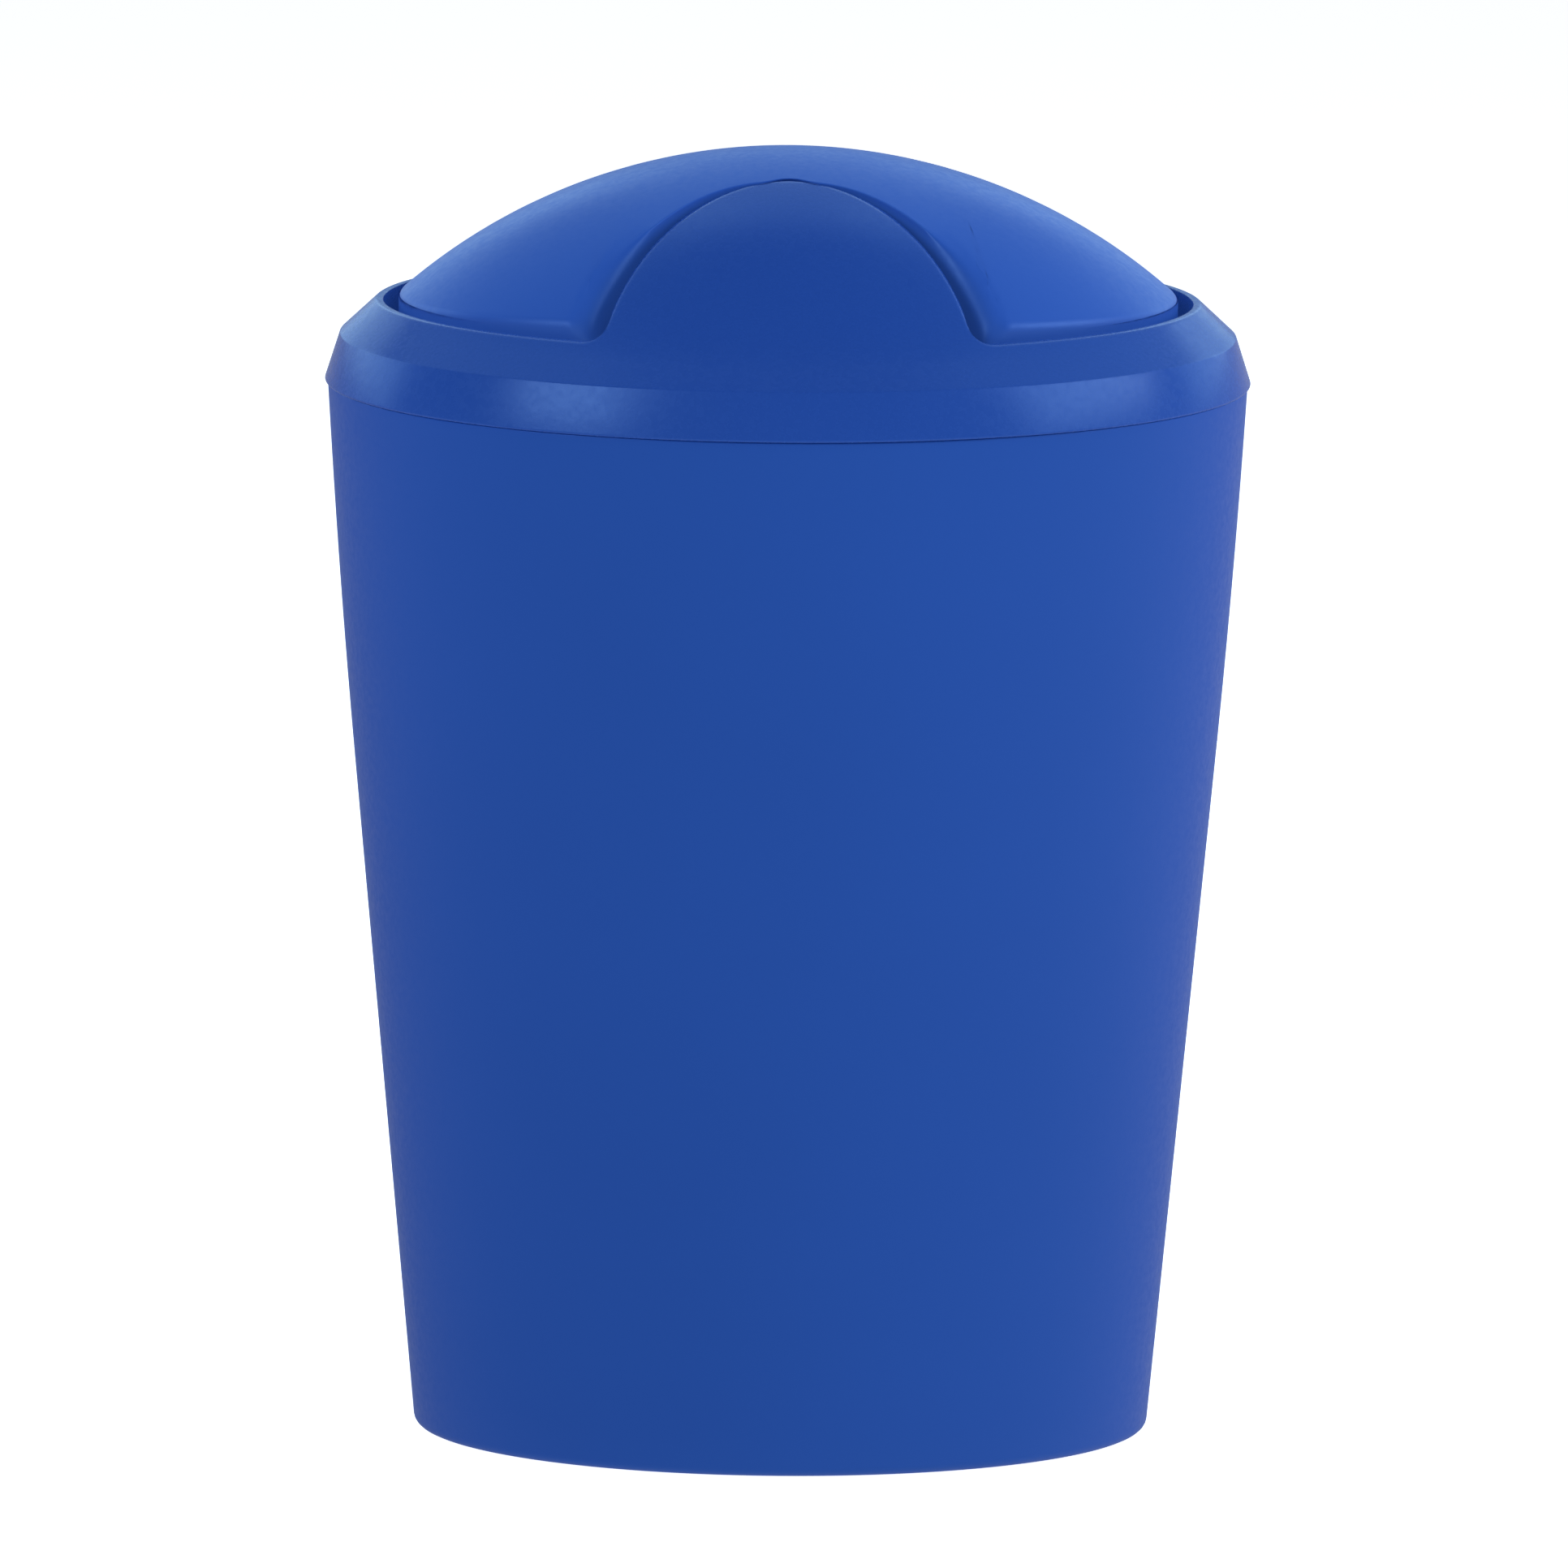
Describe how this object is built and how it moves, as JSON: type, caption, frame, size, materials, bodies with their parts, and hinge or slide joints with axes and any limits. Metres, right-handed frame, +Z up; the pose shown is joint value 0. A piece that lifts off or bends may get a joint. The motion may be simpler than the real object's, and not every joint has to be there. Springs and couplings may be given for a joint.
{
  "type": "swing-lid waste bin",
  "caption": "Tapered oval plastic waste bin with a lift-off lid collar and a domed flap that swings both ways between front and rear tongues.",
  "frame": {"origin": "centre of the base, on the plane that the foot ring stands on", "axes": "+Z up, X along the oval's long side, Y along its short side and along the flap's pivot axis, the front faces -Y"},
  "size_m": [0.2298, 0.1736, 0.3231],
  "materials": {
    "bucket_plastic": "fine moulded grain, satin",
    "lid_plastic": "fine moulded grain, satin",
    "flap_plastic": "fine moulded grain, satin",
    "pin_plastic": "smooth moulded"
  },
  "bodies": {
    "bucket_body": {"bucket": "bucket_plastic"},
    "lid_body": {"lid_collar": "lid_plastic"},
    "flap_body": {"swing_flap": "flap_plastic", "pivot_pin_front": "pin_plastic", "pivot_pin_rear": "pin_plastic"}
  },
  "joints": [
    {"name": "lid_lift", "type": "slide", "parent": "bucket_body", "child": "lid_body", "axis": [0, 0, 1], "range_m": [0, 0.08]},
    {"name": "flap_swing", "type": "hinge", "parent": "lid_body", "child": "flap_body", "pos_m": [0, 0, 0.312], "axis": [0, 1, 0], "range_deg": [-80, 80]}
  ]
}
